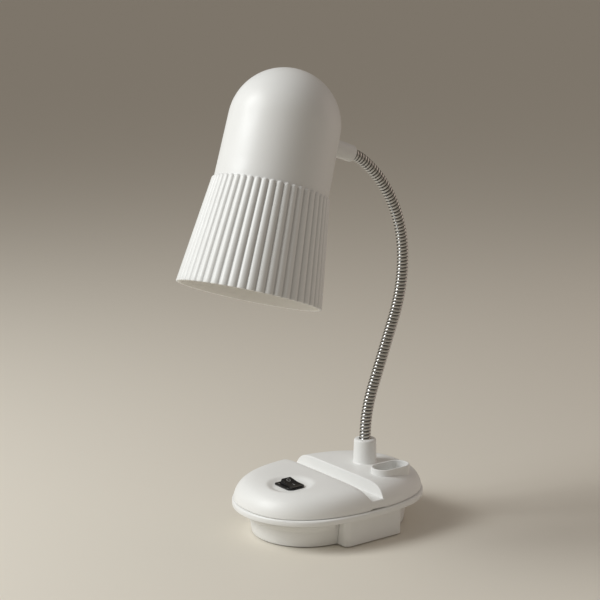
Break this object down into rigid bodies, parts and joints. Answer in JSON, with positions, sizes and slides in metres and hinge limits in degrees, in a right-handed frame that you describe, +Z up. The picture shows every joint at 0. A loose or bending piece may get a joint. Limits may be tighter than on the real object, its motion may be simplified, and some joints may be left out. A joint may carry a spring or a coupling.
{
  "type": "desk lamp with drawer base",
  "caption": "Desk lamp with a ribbed shade on a wound steel gooseneck, over an oval base with a drawer, a pen cup, a pen trough and a rocker switch.",
  "frame": {"origin": "under the middle of the oval base, on the plane that the rubber feet stand on", "axes": "+Z up, +X towards the end with the gooseneck, drawer opens towards -Y"},
  "size_m": [0.2312, 0.1359, 0.3853],
  "materials": {
    "white_plastic": "moulded white plastic, satin gloss",
    "black_plastic": "moulded black plastic",
    "wound_steel": "bright nickel-plated wound steel",
    "zinc_steel": "zinc plated",
    "foot_rubber": "soft rubber",
    "brass": "plain brass",
    "ballast_iron": "as cast, oiled",
    "bulb_cap_aluminium": "bright rolled thread",
    "lead_sheath": "white lead sheath",
    "bulb_opal": "opal diffuser",
    "white_ceramic": "white insulating plastic"
  },
  "bodies": {
    "base": {"bottom_shell": "white_plastic", "top_shell": "white_plastic", "rubber_feet": "foot_rubber", "shell_screws": "zinc_steel", "left_ballast_plate": "ballast_iron", "right_ballast_plate": "ballast_iron", "switch_housing": "black_plastic", "switch_terminals": "brass", "cord_gland": "black_plastic", "terminal_block": "white_ceramic", "clamp_screws": "brass", "neck_foot_nipple": "zinc_steel", "post_washer": "zinc_steel", "post_nut": "zinc_steel", "neck_root": "wound_steel", "neck_lead_root": "lead_sheath", "base_lead": "lead_sheath", "switch_lead": "lead_sheath"},
    "drawer": {"drawer": "white_plastic"},
    "rocker": {"switch_rocker": "black_plastic"},
    "neck_lower": {"neck_lower": "wound_steel", "neck_lead_lower": "lead_sheath"},
    "neck_middle": {"neck_middle": "wound_steel", "neck_lead_middle": "lead_sheath"},
    "neck_upper": {"neck_upper": "wound_steel", "neck_lead_upper": "lead_sheath"},
    "neck_tip": {"neck_tip": "wound_steel", "neck_lead_tip": "lead_sheath", "shade_nipple": "zinc_steel", "shade_nut": "zinc_steel", "spring_washer": "zinc_steel"},
    "shade": {"shade_shell": "white_plastic", "holder_bracket": "zinc_steel", "holder_nipple": "zinc_steel", "holder_nut": "zinc_steel", "holder_cap": "black_plastic", "holder_skirt": "black_plastic", "holder_insulator": "white_ceramic", "screw_shell": "brass", "centre_contact": "brass", "bulb_contact": "brass", "bulb_cap": "bulb_cap_aluminium", "bulb_body": "white_ceramic", "bulb_globe": "bulb_opal", "shade_lead": "lead_sheath"}
  },
  "joints": [
    {"name": "drawer_slide", "type": "slide", "parent": "base", "child": "drawer", "axis": [0, -1, 0], "range_m": [0, 0.054]},
    {"name": "rocker_tilt", "type": "hinge", "parent": "base", "child": "rocker", "pos_m": [-0.0465, -0.009, 0.0444], "axis": [1, 0, 0], "range_deg": [-20.4, 0]},
    {"name": "neck_lower_bend", "type": "hinge", "parent": "base", "child": "neck_lower", "pos_m": [0.04086, 0, 0.08792], "axis": [0, 1, 0], "range_deg": [-15, 22]},
    {"name": "neck_side_bend", "type": "hinge", "parent": "neck_lower", "child": "neck_middle", "pos_m": [0.06737, 0, 0.16432], "axis": [-0.9342, 0, 0.3567], "range_deg": [-22, 22]},
    {"name": "neck_upper_bend", "type": "hinge", "parent": "neck_middle", "child": "neck_upper", "pos_m": [0.07865, 0, 0.2228], "axis": [0, 1, 0], "range_deg": [-20, 22]},
    {"name": "neck_tip_bend", "type": "hinge", "parent": "neck_upper", "child": "neck_tip", "pos_m": [0.06256, 0, 0.27679], "axis": [0, 1, 0], "range_deg": [-15, 22]},
    {"name": "shade_turn", "type": "hinge", "parent": "neck_tip", "child": "shade", "pos_m": [-0.04631, 0, 0.33708], "axis": [0.9449, 0, -0.3272], "range_deg": [-35, 35]}
  ]
}
